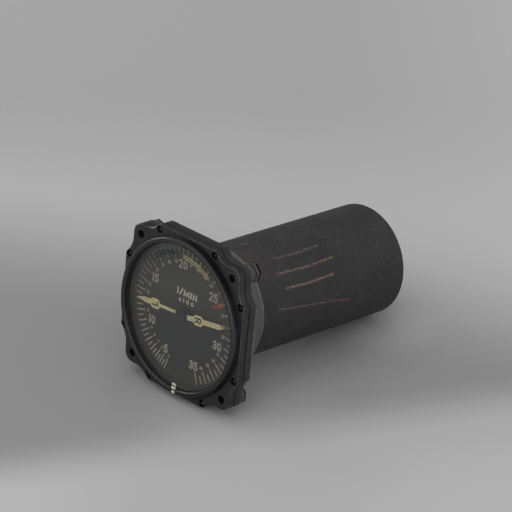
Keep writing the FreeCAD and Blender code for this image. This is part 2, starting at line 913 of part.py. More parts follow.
def lead(edges, angle):
    """One insulated lead, swept in the plane Z = 0 and then turned to its place."""
    section = Part.Wire(Part.makeCircle(lead_radius, edges[0].Vertexes[0].Point, AXIS))
    body = Part.Wire(edges).makePipeShell([section], True, False)
    body.rotate(Vector(0, 0, 0), AXIS, -angle)
    return body


def lead_run_in(place):
    """Last stretch of a lead: from a (radius, depth) place behind the units in to its contact."""
    arrive = (contact_circle, contact_start - lead_straight)
    return s_bend(place, arrive) + [line(arrive, (contact_circle, contact_start))]


def front_leads():
    """Leads of the front unit: past the rear unit through the channel beside its housing."""
    leads = []
    channel = lead_channel_radius()
    begin = (lead_exit_radius, front_unit_end - lead_inside)
    leave = (lead_exit_radius, front_unit_end + lead_straight)
    enter = (channel, rear_unit_start - lead_straight)
    clear = (channel, rear_unit_end + lead_straight)
    for angle in contact_angles(0):
        path = [line(begin, leave)] + s_bend(leave, enter) + [line(enter, clear)]
        leads.append(lead(path + lead_run_in(clear), angle))
    return Part.makeCompound(leads)


def rear_leads():
    """Leads of the rear unit: straight from its rear end plate in to the contacts."""
    leads = []
    begin = (lead_exit_radius, rear_unit_end - lead_inside)
    leave = (lead_exit_radius, rear_unit_end + lead_straight)
    for angle in contact_angles(1):
        leads.append(lead([line(begin, leave)] + lead_run_in(leave), angle))
    return Part.makeCompound(leads)


def receiver(place, start, unit):
    """All the nodes of one receiver, named after its place in the case."""
    housing_start = start + end_plate
    housing_end = housing_start + housing_length
    nodes = {
        "unit_front_plate": unit_end_plate(start, 1, []),
        "unit_housing": ring(unit_radius, housing_bore, housing_start, housing_end),
        "unit_rear_plate": unit_end_plate(housing_end, -1, contact_angles(unit)),
        "stator_core": stator_core(start),
        "stator_winding": stator_winding(start),
        "rotor_core": rotor_core(start),
        "rotor_coil": rotor_coil(start),
        "bearing_outers": bearing_outers(start),
        "bearing_inners": bearing_inners(start),
        "slip_ring_sleeve": slip_ring_sleeve(start),
        "slip_rings": slip_rings(start),
        "brushes": Part.makeCompound(brush_boxes(start, 0)),
        "brush_block": brush_block(start),
    }
    return {place + "_" + name: shape for name, shape in nodes.items()}


parts = {
    "bezel": bezel(),
    "bezel_screws": bezel_screws(),
    "glass_gasket": ring(pocket_radius - spacer_clearance, gasket_bore, -lip_underside, glass_front),
    "cover_glass": disc(pocket_radius - glass_clearance, glass_front, glass_back),
    "glass_spacer_ring": ring(pocket_radius - spacer_clearance, spacer_bore, glass_back, dial_front),
    "dial_plate": ring(pocket_radius - dial_clearance, dial_hole_radius, dial_front, dial_back),
    "carrier_plate": carrier_plate(),
    "pillar_screws": pillar_screws(),
    "front_pillars": front_pillars(),
    "middle_pillars": middle_pillars(),
    "pointer_left": pointer_left(),
    "pointer_left_hub": pointer_hub(shaft_radius, left_hub_stem, left_hub_radius,
                                    left_hub_front, left_front, left_back + left_hub_tail),
    "hollow_shaft": ring(shaft_radius, hollow_shaft_bore, left_hub_front, hollow_shaft_end),
    "pilot_bush": ring(hollow_shaft_bore, thin_shaft_radius + bush_clearance,
                       left_hub_front, left_hub_front + bush_length),
    "pointer_right": pointer_right(),
    "pointer_right_hub": pointer_hub(thin_shaft_radius, right_hub_stem, right_hub_radius,
                                     right_hub_front, right_front, left_hub_front - hub_gap),
    "long_shaft": long_shaft(),
    "case_front": case_front(),
    "mounting_nuts": mounting_nuts(),
    "case_tube": case_tube(),
    "rear_support_ring": rear_support_ring(),
    "receptacle_shell": receptacle_shell(),
    "receptacle_insert": receptacle_insert(),
    "receptacle_contacts": receptacle_contacts(),
    "receptacle_screws": receptacle_screws(),
    "front_leads": front_leads(),
    "rear_leads": rear_leads(),
}
parts.update(receiver("front", front_unit_start, 0))
parts.update(receiver("rear", rear_unit_start, 1))

os.makedirs("parts", exist_ok=True)
for name, shape in parts.items():
    shape.exportStep("parts/" + name + ".step")
    state = "valid" if shape.isValid() else "not valid"
    print(name, len(shape.Solids), "solids", round(shape.Volume), "mm3", state)
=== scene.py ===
import math

import bpy
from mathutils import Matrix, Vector


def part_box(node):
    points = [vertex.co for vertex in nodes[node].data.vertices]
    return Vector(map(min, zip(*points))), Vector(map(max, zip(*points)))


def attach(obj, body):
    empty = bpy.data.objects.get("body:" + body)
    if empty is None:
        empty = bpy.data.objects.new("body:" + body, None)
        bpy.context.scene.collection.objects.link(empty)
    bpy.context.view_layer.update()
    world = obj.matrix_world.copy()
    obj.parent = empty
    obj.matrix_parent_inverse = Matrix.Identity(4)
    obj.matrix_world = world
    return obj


# Dual tachometer: the dial faces -Y, the case runs back along +Y and Z is up.
# Sizes and places are in millimetres, unless a comment says metres, and angles are in degrees.
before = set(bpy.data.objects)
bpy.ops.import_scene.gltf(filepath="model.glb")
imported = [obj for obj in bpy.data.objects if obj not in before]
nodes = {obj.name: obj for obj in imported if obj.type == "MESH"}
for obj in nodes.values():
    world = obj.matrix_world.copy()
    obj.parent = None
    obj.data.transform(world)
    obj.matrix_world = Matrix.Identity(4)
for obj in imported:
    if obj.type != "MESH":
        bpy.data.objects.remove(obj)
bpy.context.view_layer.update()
MM = 0.001

# Camera, as fitted to the photograph; its clipping distances are in metres
CAMERA_PLACE = (825.28, -823.82, 529.64)
CAMERA_TURN = (66.908, -4.909, 45.514)
CAMERA_LENS = 188.72
SENSOR_WIDTH = 36.0
CLIP_START = 0.05
CLIP_END = 100.0

# Planes, edges and places of the CAD nodes
DIAL_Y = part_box("dial_plate")[0].y / MM
GLASS_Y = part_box("cover_glass")[0].y / MM
tube_low, tube_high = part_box("case_tube")
flange_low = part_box("case_front")[0]
FLANGE_BACK = 8.5
TUBE_EDGE = 0.05
RIM_FOOT = 40.2
CONE_SLOPE = 0.638
SCREW_PLACE = (38.48, 18.97)

# Scale of the dial: radii from the axis and angles clockwise from the top
FIRST_HUNDRED = 4
LAST_HUNDRED = 35
LOW_READINGS = (199.2, 205.6, 211.9, 219.2, 227.5, 236.1, 244.9, 254.5, 264.5, 274.8, 285.1, 295.8)
EVEN_STEP = 11.21
LONG_TICK = (28.4, 34.5)
SHORT_TICK = (30.3, 34.3)
TICK_WIDTH = 0.64
NUMERAL_HEIGHT = 4.7
NUMERAL_STROKE = 0.85
NUMERALS = {
    5: (-11.3, -22.2),
    10: (-22.3, -10.7),
    15: (-22.1, 11.4),
    20: (-4.0, 24.9),
    25: (17.9, 15.9),
    30: (22.9, -7.4),
    35: (8.3, -23.5),
}
SMALL_HEIGHT = 1.8
SMALL_STROKE = 0.34
SMALL_RADIUS = 26.5
LEFT_ANGLE = 266.2
RIGHT_ANGLE = 81.4

# Paint: its thickness on the dial and on the glass, and the steps that keep crossing strokes apart
PAINT = 0.03
GLASS_PAINT = 0.02
LAYER = 0.008
LAYERS = 3

# Strokes: places this near are one, the least cosine of a mitred joint, and degrees along an arc
SAME_PLACE = 0.001
MITRE_LIMIT = 0.55
ARC_STEP = 2.0

# Slippage mark: rows of a dab as distance from the axis, depth and half width
DABS = {
    "slippage_dab": ((35.1, -0.94, 0.9), (35.5, -0.96, 1.45), (36.7, -0.96, 1.5), (36.76, -1.8, 1.5),
                     (36.76, -2.7, 1.4), (36.9, -3.1, 1.1)),
    "slippage_dab_crest": ((37.5, -3.56, 0.8), (37.9, -3.56, 1.15), (38.4, -3.56, 1.15),
                           (38.9, -3.4, 1.05), (39.2, -3.05, 0.8)),
}
DAB_SHARES = (-1.0, -0.6, 0.0, 0.6, 1.0)
DAB_MIDDLE = 0.15
DAB_LEAN = 0.87
DAB_START = -0.93
DAB_RISE = 0.03

# Marks on the tube: half width, then places as (distance round from the top, depth)
CHALK = (
    (0.8, (15.0, 46.0), (15.8, 60.0), (15.2, 76.0)),
    (0.8, (23.2, 42.5), (24.0, 61.0), (23.4, 80.0)),
    (0.8, (31.2, 45.0), (31.8, 59.0), (31.4, 77.0)),
)
UNDERLINE = (0.6, (39.9, 37.6), (41.4, 47.3), (45.0, 77.8), (47.3, 88.7))
SCRATCH = (0.5, (-0.8, 37.4), (0.6, 40.7))
CHALK_EDGE = 1.3
CHALK_CORE = 0.75

# Room: the direction in which it is brightest, how far that fades on either side, and its levels
BRIGHT_SIDE = (0.63, -0.77, -0.05)
FADE = 0.9
BACK_LEVEL = 0.14
FRONT_LEVEL = 1.2
ROOM_TINT = (1.0, 1.0, 1.005, 1.0)

# Lamps, in metres and watts: place, place aimed at, size and power
LAMPS = {
    "overhead": ((-0.5, 0.1, 1.5), (0, 0.05, 0), 1.5, 6.0),
    "left": ((-1.3, -0.1, 0.4), (0, 0.03, 0), 0.6, 2.6),
}

# Half the side of the floor, in metres
FLOOR_HALF = 40.0


# Meshes

def build(name, points, faces, material, body):
    """Piece from points in millimetres, with its material, that rides on a body."""
    mesh = bpy.data.meshes.new(name)
    mesh.from_pydata([Vector(p) * MM for p in points], [], faces)
    mesh.validate()
    mesh.update()
    piece = bpy.data.objects.new(name, mesh)
    bpy.context.scene.collection.objects.link(piece)
    mesh.materials.append(material)
    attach(piece, body)


class Sheet:
    """Flat paint on a plane that faces the viewer, gathered into one mesh."""

    def __init__(self, y, thickness=PAINT):
        self.front = y - thickness
        self.back = y
        self.points = []
        self.faces = []
        self.strokes = 0

    def stroke(self, path, width, cap=True):
        """Line of even width along (x, z) places with mitred joints; it may close on itself."""
        half = width / 2
        places = [Vector(path[0])]
        for place in path[1:]:
            if (Vector(place) - places[-1]).length > SAME_PLACE:
                places.append(Vector(place))
        closed = len(places) > 2 and (places[0] - places[-1]).length < SAME_PLACE
        if closed:
            places.pop()
        count = len(places)
        runs = [(places[(k + 1) % count] - places[k]).normalized() for k in range(count)]
        if not closed:
            runs[-1] = runs[-2]
            if cap:
                places[0] = places[0] - runs[0] * half
                places[-1] = places[-1] + runs[-1] * half
        level = self.front - LAYER * (self.strokes % LAYERS)
        self.strokes += 1
        start = len(self.points)
        for k, place in enumerate(places):
            into = runs[k - 1] if closed or k else runs[0]
            middle = into + runs[k]
            side = Vector((-middle.y, middle.x)).normalized()
            reach = half / max(side.dot(Vector((-into.y, into.x))), MITRE_LIMIT)
            for sign, depth in ((1, level), (-1, level), (1, self.back), (-1, self.back)):
                edge = place + side * (sign * reach)
                self.points.append((edge.x, depth, edge.y))
        for k in range(count if closed else count - 1):
            a = start + 4 * k
            b = start + 4 * ((k + 1) % count)
            self.faces += [[a + 1, b + 1, b, a], [a, b, b + 2, a + 2], [b + 1, a + 1, a + 3, b + 3]]
        if not closed:
            end = start + 4 * (count - 1)
            self.faces += [[start, start + 2, start + 3, start + 1], [end + 1, end + 3, end + 2, end]]

    def piece(self, name, material, body, slot):
        build(name, self.points, self.faces, material, body)


def oval(cx, cz, rx, rz, start, end, count=14):
    """Places along part of an oval, from one angle to another, anticlockwise from the right."""
    turns = [math.radians(start + (end - start) * k / count) for k in range(count + 1)]
    return [(cx + rx * math.cos(turn), cz + rz * math.sin(turn)) for turn in turns]


# Strokes of each character on a body one unit high, and its width
GLYPHS = {
    "0": ([oval(0.27, 0.5, 0.25, 0.47, 0, 360, 24)], 0.54),
    "1": ([[(0.08, 0.0), (0.08, 1.0)]], 0.16),
    "2": ([oval(0.26, 0.73, 0.24, 0.26, 165, -38) + [(0.03, 0.0), (0.52, 0.0)]], 0.54),
    "3": ([oval(0.25, 0.75, 0.21, 0.24, 160, -90), oval(0.25, 0.26, 0.25, 0.26, 90, -160)], 0.52),
    "4": ([[(0.42, 0.0), (0.42, 1.0), (0.02, 0.27)], [(0.02, 0.27), (0.56, 0.27)]], 0.56),
    "5": ([[(0.48, 1.0), (0.11, 1.0), (0.07, 0.56)],
           [(0.07, 0.56)] + oval(0.26, 0.31, 0.25, 0.31, 118, -155)], 0.54),
    "6": ([oval(0.27, 0.29, 0.24, 0.29, 0, 360, 20), oval(0.52, 0.3, 0.49, 0.7, 100, 180)], 0.54),
    "7": ([[(0.02, 1.0), (0.5, 1.0), (0.17, 0.0)]], 0.52),
    "8": ([oval(0.26, 0.76, 0.2, 0.23, 0, 360, 18), oval(0.26, 0.27, 0.25, 0.27, 0, 360, 18)], 0.52),
    "9": ([oval(0.27, 0.71, 0.24, 0.29, 0, 360, 20), oval(0.02, 0.7, 0.49, 0.7, -80, 0)], 0.54),
    "R": ([[(0.05, 0.0), (0.05, 1.0), (0.3, 1.0)] + oval(0.3, 0.75, 0.24, 0.25, 90, -90) + [(0.12, 0.5)],
           [(0.28, 0.5), (0.56, 0.0)]], 0.6),
    "M": ([[(0.0, 0.0), (0.05, 1.0), (0.42, 0.12), (0.79, 1.0), (0.84, 0.0)]], 0.84),
    "L": ([[(0.05, 1.0), (0.05, 0.0), (0.45, 0.0)]], 0.48),
    "I": ([[(0.05, 0.0), (0.05, 1.0)]], 0.1),
    "N": ([[(0.05, 0.0), (0.05, 1.0), (0.57, 0.0), (0.57, 1.0)]], 0.62),
    "/": ([[(0.0, -0.05), (0.4, 1.05)]], 0.4),
    "x": ([[(0.05, 0.0), (0.45, 0.62)], [(0.05, 0.62), (0.45, 0.0)]], 0.5),
}


def lettering(sheet, text, place, height, stroke, gap=0.22, stretch=1.0):
    """Characters in one line; place turns their own places into places on the sheet."""
    glyphs = [GLYPHS[character] for character in text]
    inner = height - stroke
    total = sum(width for _, width in glyphs) * inner * stretch + gap * height * (len(glyphs) - 1)
    across = -total / 2
    for strokes, width in glyphs:
        for path in strokes:
            points = [place(across + x * inner * stretch, z * inner - inner / 2) for x, z in path]
            sheet.stroke(points, stroke)
        across += width * inner * stretch + gap * height


def upright(centre):
    """Puts letters upright round a centre."""
    def place(x, z):
        return centre[0] + x, centre[1] + z
    return place


def on_pointer(angle, radius):
    """Puts letters on a pointer at a radius, their tops toward the tip."""
    turn = math.radians(angle)

    def place(x, z):
        far = radius + z
        return far * math.sin(turn) + x * math.cos(turn), far * math.cos(turn) - x * math.sin(turn)
    return place


def clock(radius, angle):
    """(x, z) place at an angle clockwise from the top."""
    turn = math.radians(angle)
    return radius * math.sin(turn), radius * math.cos(turn)


def arc_path(radius, start, end):
    """Places along an arc, from one angle to another."""
    count = max(2, int((end - start) / ARC_STEP))
    return [clock(radius, start + (end - start) * k / count) for k in range(count + 1)]


def scale_angle(hundred):
    """Angle of a reading: the scale opens out from 400 to 1500 and is even after that."""
    above = hundred - FIRST_HUNDRED
    last = len(LOW_READINGS) - 1
    if above >= last:
        return LOW_READINGS[last] + (above - last) * EVEN_STEP
    step = int(above)
    return LOW_READINGS[step] + (LOW_READINGS[step + 1] - LOW_READINGS[step]) * (above - step)


# Node materials

def grey(value):
    """Linear grey for a shade from 0 to 255 as seen on screen."""
    share = value / 255
    return ((share + 0.055) / 1.055) ** 2.4 if share > 0.04 else share / 12.92


def shade(red, green, blue):
    return grey(red), grey(green), grey(blue)


class Surface:
    """Principled material whose colour, roughness and bump come from nodes."""

    def __init__(self, name, roughness=0.5, metallic=0.0, specular=0.5):
        self.material = bpy.data.materials.new(name)
        self.material.use_nodes = True
        self.tree = self.material.node_tree
        self.shader = self.tree.nodes["Principled BSDF"]
        self.set("Roughness", roughness)
        self.set("Metallic", metallic)
        self.set("Specular IOR Level", specular)
        self.coords = self.node("ShaderNodeTexCoord").outputs["Object"]

    def node(self, kind, **settings):
        made = self.tree.nodes.new(kind)
        for key, value in settings.items():
            setattr(made, key, value)
        return made

    def feed(self, target, value):
        """Constant on a socket, or a link to it from a node's output."""
        if isinstance(value, bpy.types.NodeSocket):
            self.tree.links.new(value, target)
        else:
            target.default_value = value

    def set(self, socket, value):
        """Constant on the shader's own socket, or a link to it from a node's output."""
        self.feed(self.shader.inputs[socket], value)

    def math(self, operation, a, b=0.0, clamp=False):
        made = self.node("ShaderNodeMath", operation=operation, use_clamp=clamp)
        self.feed(made.inputs[0], a)
        self.feed(made.inputs[1], b)
        return made.outputs[0]

    def chain(self, operation, values):
        total = values[0]
        for value in values[1:]:
            total = self.math(operation, total, value)
        return total

    def product(self, *values):
        return self.chain("MULTIPLY", values)

    def highest(self, *values):
        return self.chain("MAXIMUM", values)

    def squares(self, a, b):
        """Sum of the squares of two sides."""
        return self.math("ADD", self.product(a, a), self.product(b, b))

    def axes(self):
        """X, Y and Z of the point, in metres."""
        made = self.node("ShaderNodeSeparateXYZ")
        self.tree.links.new(self.coords, made.inputs[0])
        return made.outputs[0], made.outputs[1], made.outputs[2]

    def radius(self):
        """Distance from the instrument's axis, in metres."""
        x, _, z = self.axes()
        return self.math("SQRT", self.squares(x, z))

    def gap_to(self, place):
        """Distance in metres from the nearest of the eight places that mirror one place."""
        x, _, z = self.axes()
        wide = self.math("ABSOLUTE", x)
        tall = self.math("ABSOLUTE", z)
        far = self.math("SUBTRACT", self.math("MAXIMUM", wide, tall), place[0] * MM)
        near = self.math("SUBTRACT", self.math("MINIMUM", wide, tall), place[1] * MM)
        return self.math("SQRT", self.squares(far, near))

    def toward_upper_left(self):
        """Distance in metres from the axis toward the upper left of the dial."""
        x, _, z = self.axes()
        return self.math("SUBTRACT", self.product(z, 0.75), self.product(x, 0.66))

    def stretched(self, stretch):
        if stretch is None:
            return self.coords
        scaled = self.node("ShaderNodeVectorMath", operation="MULTIPLY")
        self.tree.links.new(self.coords, scaled.inputs[0])
        scaled.inputs[1].default_value = stretch
        return scaled.outputs[0]

    def noise(self, size, detail=3.0, roughness=0.55, stretch=None, distortion=0.0):
        """Noise whose features are about size millimetres, centred on one half."""
        made = self.node("ShaderNodeTexNoise")
        made.inputs["Scale"].default_value = 1 / (size * MM)
        made.inputs["Detail"].default_value = detail
        made.inputs["Roughness"].default_value = roughness
        made.inputs["Distortion"].default_value = distortion
        self.tree.links.new(self.stretched(stretch), made.inputs["Vector"])
        return made.outputs["Fac"]

    def steps(self, value, low, high):
        """Smooth ramp from 0 at low to 1 at high."""
        made = self.node("ShaderNodeMapRange", interpolation_type="SMOOTHSTEP")
        self.feed(made.inputs["Value"], value)
        made.inputs["From Min"].default_value = low
        made.inputs["From Max"].default_value = high
        return made.outputs["Result"]

    def ramp(self, length, low, high):
        """Smooth ramp of a length, with its ends in millimetres."""
        return self.steps(length, low * MM, high * MM)

    def band(self, length, low, high, soft):
        """1 while a length lies between two limits in millimetres, with soft ends outside them."""
        return self.product(self.ramp(length, low - soft, low), self.ramp(length, high + soft, high))

    def patches(self, size, detail=4.0, roughness=0.55, stretch=None, limits=(0.3, 0.7)):
        """Noise drawn out into patches of 0 and 1 with soft borders."""
        return self.steps(self.noise(size, detail, roughness, stretch), *limits)

    def span(self, value, low, high):
        """Plain ramp of a 0..1 value onto low..high."""
        made = self.node("ShaderNodeMapRange")
        self.feed(made.inputs["Value"], value)
        made.inputs["To Min"].default_value = low
        made.inputs["To Max"].default_value = high
        return made.outputs["Result"]

    def mix(self, share, a, b):
        """Colour that goes from a to b as share goes from 0 to 1."""
        made = self.node("ShaderNodeMix", data_type="RGBA")
        self.feed(made.inputs[0], share)
        for socket, value in ((made.inputs[6], a), (made.inputs[7], b)):
            self.feed(socket, (*value, 1.0) if isinstance(value, tuple) else value)
        return made.outputs[2]

    def soil(self, body, dirt_and_shade, colour):
        """Dark joints and painted shade, without gloss: a near-black colour that is metallic reflects
        almost nothing.
        """
        self.set("Metallic", dirt_and_shade)
        return self.mix(dirt_and_shade, body, colour)

    def bump(self, height, depth, after=None):
        """Relief from a 0..1 height over a depth in millimetres."""
        made = self.node("ShaderNodeBump")
        made.inputs["Strength"].default_value = 1.0
        made.inputs["Distance"].default_value = depth * MM
        self.tree.links.new(height, made.inputs["Height"])
        if after is not None:
            self.tree.links.new(after, made.inputs["Normal"])
        return made.outputs["Normal"]

    def finish(self, body, gloss, limits, grain, depth, after=None):
        """Colour, roughness from a noise between limits, and relief from a finer one."""
        self.set("Base Color", body)
        self.set("Roughness", self.span(self.noise(*gloss), *limits))
        self.set("Normal", self.bump(self.noise(*grain), depth, after))
        return self.material


def paint(name, dark, light, roughness):
    """Painted or moulded surface: two near shades in patches, fine grain and uneven gloss."""
    surface = Surface(name)
    size = 8.0
    body = surface.mix(surface.patches(size, limits=(0.35, 0.65)), dark, light)
    return surface.finish(body, (size / 3, 5.0), (roughness - 0.1, roughness + 0.1), (0.25, 2.0), 0.02)


def bezel_paint():
    """Black enamel: rubbed edges and crest, also painted as highlights; painted shade toward the bottom,
    by the screws and along the rim; a dark seam.
    """
    surface = Surface("bezel_enamel")
    mottle = surface.patches(6.0, 5.0, limits=(0.35, 0.65))
    body = surface.mix(mottle, shade(34, 34, 35), shade(42, 42, 43))
    radius = surface.radius()
    x, depth, z = surface.axes()
    # Painted shade: the enamel is painted darker toward the bottom.
    painted_lower_shade = surface.product(surface.ramp(z, 16, -36), 0.75)
    body = surface.mix(painted_lower_shade, body, shade(22, 22, 22))
    wear_and_highlight = surface.patches(2.2, 5.0, 0.7, limits=(0.4, 0.62))
    # Rubbed crest, painted lighter also as a painted highlight.
    crest = surface.product(surface.band(radius, 38.1, 38.4, 0.3), surface.ramp(depth, -2.9, -3.4), wear_and_highlight)
    body = surface.mix(surface.product(crest, 0.12), body, shade(60, 60, 62))
    plate = surface.ramp(radius, RIM_FOOT, RIM_FOOT + 0.7)
    # Rubbed front edge, painted lighter also as a painted highlight.
    edge = surface.product(surface.band(depth, 0.12, 0.3, 0.06), plate, wear_and_highlight)
    body = surface.mix(surface.product(edge, 0.42), body, shade(98, 98, 96))
    # Painted shade: the sides of the plate are painted darker than its front.
    side = surface.product(surface.band(depth, 0.45, 3.6, 0.1), plate)
    body = surface.mix(surface.product(side, 0.6), body, shade(28, 28, 30))
    # Painted shade in the counterbores round the screws.
    screw_hole_shade = surface.product(surface.ramp(surface.gap_to(SCREW_PLACE), 1.95, 1.85),
                                  surface.band(depth, 0.12, 2.2, 0.1))
    seam = surface.product(surface.ramp(depth, 3.45, 3.6), plate, 0.6)
    # Painted shadow of the rim on the plate at the right, near black and without gloss.
    rim_foot_shadow = surface.product(surface.band(radius, 39.2, RIM_FOOT, 0.5),
                                 surface.band(x, 8, 28, 13), 0.45)
    # Painted shade on the lower part of the rim, which also takes away its reflection.
    low_rim_shade = surface.product(surface.ramp(z, -22, -37), surface.band(radius, 37.8, 40.4, 0.4),
                              surface.span(surface.ramp(radius, 38.6, 39.6), 0.3, 0.65))
    # The seam is a dark joint; the rest is painted shade.
    dirt_and_shade = surface.highest(screw_hole_shade, rim_foot_shadow, low_rim_shade, seam)
    body = surface.soil(body, dirt_and_shade, shade(12, 12, 12))
    chips = surface.patches(0.9, 6.0, 0.75, limits=(0.69, 0.75))
    body = surface.mix(surface.product(chips, 0.45), body, shade(76, 74, 70))
    return surface.finish(body, (2.0, 5.0), (0.2, 0.32), (0.5, 3.0), 0.006)


def casting_paint():
    """Grey-black paint on the casting: a cone painted lighter as painted light and darker low down as
    painted shade, bright edges from wear and painted highlights, bosses lighter as painted light, the
    flange's top darker as painted shade, dark joints, scuffs.
    """
    surface = Surface("casting_paint")
    body = surface.mix(surface.patches(7.0, 5.0), shade(33, 33, 34), shade(42, 42, 42))
    radius = surface.radius()
    _, depth, z = surface.axes()
    streaks = surface.patches(1.6, 4.0, 0.6, stretch=(1.0, 0.25, 1.0))
    # Painted light: the cone is painted much lighter than the rest of the casting, as a lit band.
    cone = surface.mix(streaks, shade(80, 80, 79), shade(95, 95, 93))
    # Painted shade: the cone is darker low down.
    low = surface.product(surface.ramp(z, 20, -5), 0.25)
    cone = surface.mix(low, cone, shade(50, 50, 49))
    behind = surface.math("SUBTRACT", depth, FLANGE_BACK * MM)
    cone_foot = surface.math("ADD", surface.product(behind, CONE_SLOPE), radius)
    on_cone = surface.product(surface.ramp(depth, FLANGE_BACK - 0.1, FLANGE_BACK + 0.1),
                              surface.ramp(cone_foot, 41.3, 41.05))
    body = surface.mix(on_cone, body, cone)
    wear_and_highlight = surface.patches(3.0, 3.0, limits=(0.32, 0.62))
    # The rear lip, the start of the cone and the flange's rear edge: wear, painted lighter also as
    # painted highlights.
    lip = surface.ramp(depth, 24.6, 25.4)
    start = surface.product(surface.ramp(depth, 10.6, 9.9), on_cone)
    rear = surface.product(surface.band(depth, 8.1, 8.6, 0.1),
                           surface.ramp(radius, RIM_FOOT, RIM_FOOT + 0.6))
    bright = surface.product(surface.highest(lip, start, rear), wear_and_highlight, 0.6)
    body = surface.mix(bright, body, shade(128, 126, 122))
    # Painted light: the bosses are painted lighter than the flange.
    boss = surface.product(surface.ramp(depth, FLANGE_BACK, FLANGE_BACK + 0.3),
                           surface.math("SUBTRACT", 1.0, on_cone))
    body = surface.mix(surface.product(boss, 0.9), body, shade(60, 60, 63))
    # Painted shade: the top of the flange is painted darker.
    top = surface.product(surface.ramp(z, 38, 40), surface.band(depth, 4.6, 8.4, 0.3), 0.5)
    body = surface.mix(top, body, shade(24, 24, 25))
    seam = surface.product(surface.ramp(depth, 4.5, 4.35),
                           surface.ramp(radius, RIM_FOOT, RIM_FOOT + 0.4), 0.6)
    joint = surface.product(surface.ramp(depth, 11.25, 11.35), boss)
    body = surface.soil(body, surface.highest(seam, joint), shade(12, 12, 12))
    scuffs = surface.patches(1.4, 7.0, 0.75, stretch=(1.0, 3.0, 1.0), limits=(0.62, 0.72))
    body = surface.mix(surface.product(scuffs, 0.35), body, shade(84, 82, 78))
    return surface.finish(body, (3.0, 5.0), (0.36, 0.6), (0.3, 4.0), 0.02)


def screw_paint():
    """Blackened screws: bare metal in their slots, painted shade without gloss round their heads."""
    surface = Surface("screw_steel")
    _, depth, _ = surface.axes()
    body = surface.mix(surface.patches(0.9), shade(36, 36, 36), shade(50, 49, 48))
    # Painted shade: the rim of each head is near black, for the dark gap of its counterbore.
    rim = surface.ramp(surface.gap_to(SCREW_PLACE), 0.55, 0.95)
    body = surface.soil(body, rim, shade(12, 12, 12))
    slot = surface.product(surface.ramp(depth, 0.75, 0.95), surface.ramp(depth, 1.6, 1.4))
    body = surface.mix(surface.product(slot, 0.85), body, shade(128, 124, 116))
    return surface.finish(body, (0.5, 4.0), (0.35, 0.55), (0.3, 3.0), 0.01)


def nut_paint():
    """Dark nuts: the groove under the hexagon and its rear edge are black."""
    surface = Surface("nut_steel", specular=0.4)
    _, depth, _ = surface.axes()
    body = surface.mix(surface.patches(1.2, 5.0), shade(62, 63, 58), shade(76, 76, 71))
    groove = surface.ramp(depth, 11.9, 11.8)
    rear = surface.ramp(depth, 13.45, 13.6)
    body = surface.soil(body, surface.highest(groove, rear), shade(8, 8, 8))
    return surface.finish(body, (0.7, 4.0), (0.35, 0.6), (0.3, 3.0), 0.02)


def line_mask(surface, around, along, mark, width=1.0):
    """1 on a mark's line on the tube, drawn at a share of its width, and 0 away from it."""
    half, *places = mark
    half *= width
    gaps = []
    for (ax, ay), (bx, by) in zip(places, places[1:]):
        dx = (bx - ax) * MM
        dy = (by - ay) * MM
        px = surface.math("SUBTRACT", around, ax * MM)
        py = surface.math("SUBTRACT", along, ay * MM)
        dot = surface.math("ADD", surface.product(px, dx), surface.product(py, dy))
        share = surface.math("DIVIDE", dot, dx * dx + dy * dy, clamp=True)
        gap_x = surface.math("SUBTRACT", px, surface.product(share, dx))
        gap_y = surface.math("SUBTRACT", py, surface.product(share, dy))
        gaps.append(surface.squares(gap_x, gap_y))
    nearest = surface.math("SQRT", surface.chain("MINIMUM", gaps))
    return surface.ramp(nearest, half, half * 0.4)


def crinkle_paint():
    """Crinkle finish: worm-like ridges, dull black, dusty by the cone and marked with chalk."""
    surface = Surface("crinkle_finish", specular=0.4)
    wrinkles = surface.noise(1.05, 2.0, 0.5, distortion=1.2)
    ridges = surface.steps(surface.math("ABSOLUTE", surface.math("SUBTRACT", wrinkles, 0.5)), 0.0, 0.12)
    body = surface.mix(surface.patches(14.0), shade(46, 46, 47), shade(56, 56, 57))
    mottle = surface.patches(1.7, 4.0, 0.65, limits=(0.5, 0.64))
    body = surface.mix(surface.product(mottle, 0.4), body, shade(26, 26, 28))
    body = surface.mix(surface.product(ridges, 0.65), body, shade(25, 25, 27))
    specks = surface.patches(0.7, 3.0, 0.6, limits=(0.6, 0.72))
    body = surface.mix(surface.product(specks, 0.35), body, shade(78, 77, 74))
    x, along, z = surface.axes()
    # Darker at the lower rear end.
    lower_rear_darkening = surface.product(surface.ramp(along, 96, 128), surface.ramp(z, 6, -12), 0.35)
    body = surface.mix(lower_rear_darkening, body, shade(28, 28, 30))
    around = surface.product(surface.math("ARCTAN2", x, z), tube_high.x)
    rubbed = surface.patches(2.0, 5.0, 0.7, stretch=(1.0, 0.4, 1.0), limits=(0.3, 0.65))
    dusty = surface.product(surface.ramp(along, 56, 30), surface.band(around, 8, 22, 10), rubbed, 0.45)
    body = surface.mix(dusty, body, shade(72, 64, 59))
    scratch = line_mask(surface, around, along, SCRATCH)
    body = surface.mix(surface.product(scratch, 0.6), body, shade(128, 124, 112))
    broken = surface.span(surface.patches(1.0, 5.0, 0.75, limits=(0.42, 0.6)), 0.15, 1.0)
    fading = surface.span(surface.ramp(around, 8, 36), 0.32, 0.8)
    for width, colour in ((CHALK_EDGE, shade(104, 76, 72)), (CHALK_CORE, shade(138, 112, 97))):
        lines = surface.highest(*[line_mask(surface, around, along, mark, width) for mark in CHALK])
        body = surface.mix(surface.product(lines, broken, fading), body, colour)
    under = line_mask(surface, around, along, UNDERLINE)
    body = surface.mix(surface.product(under, broken, 0.6), body, shade(122, 108, 94))
    relief = surface.bump(wrinkles, 0.25)
    return surface.finish(body, (2.5, 5.0), (0.5, 0.7), (0.3, 3.0), 0.04, after=relief)


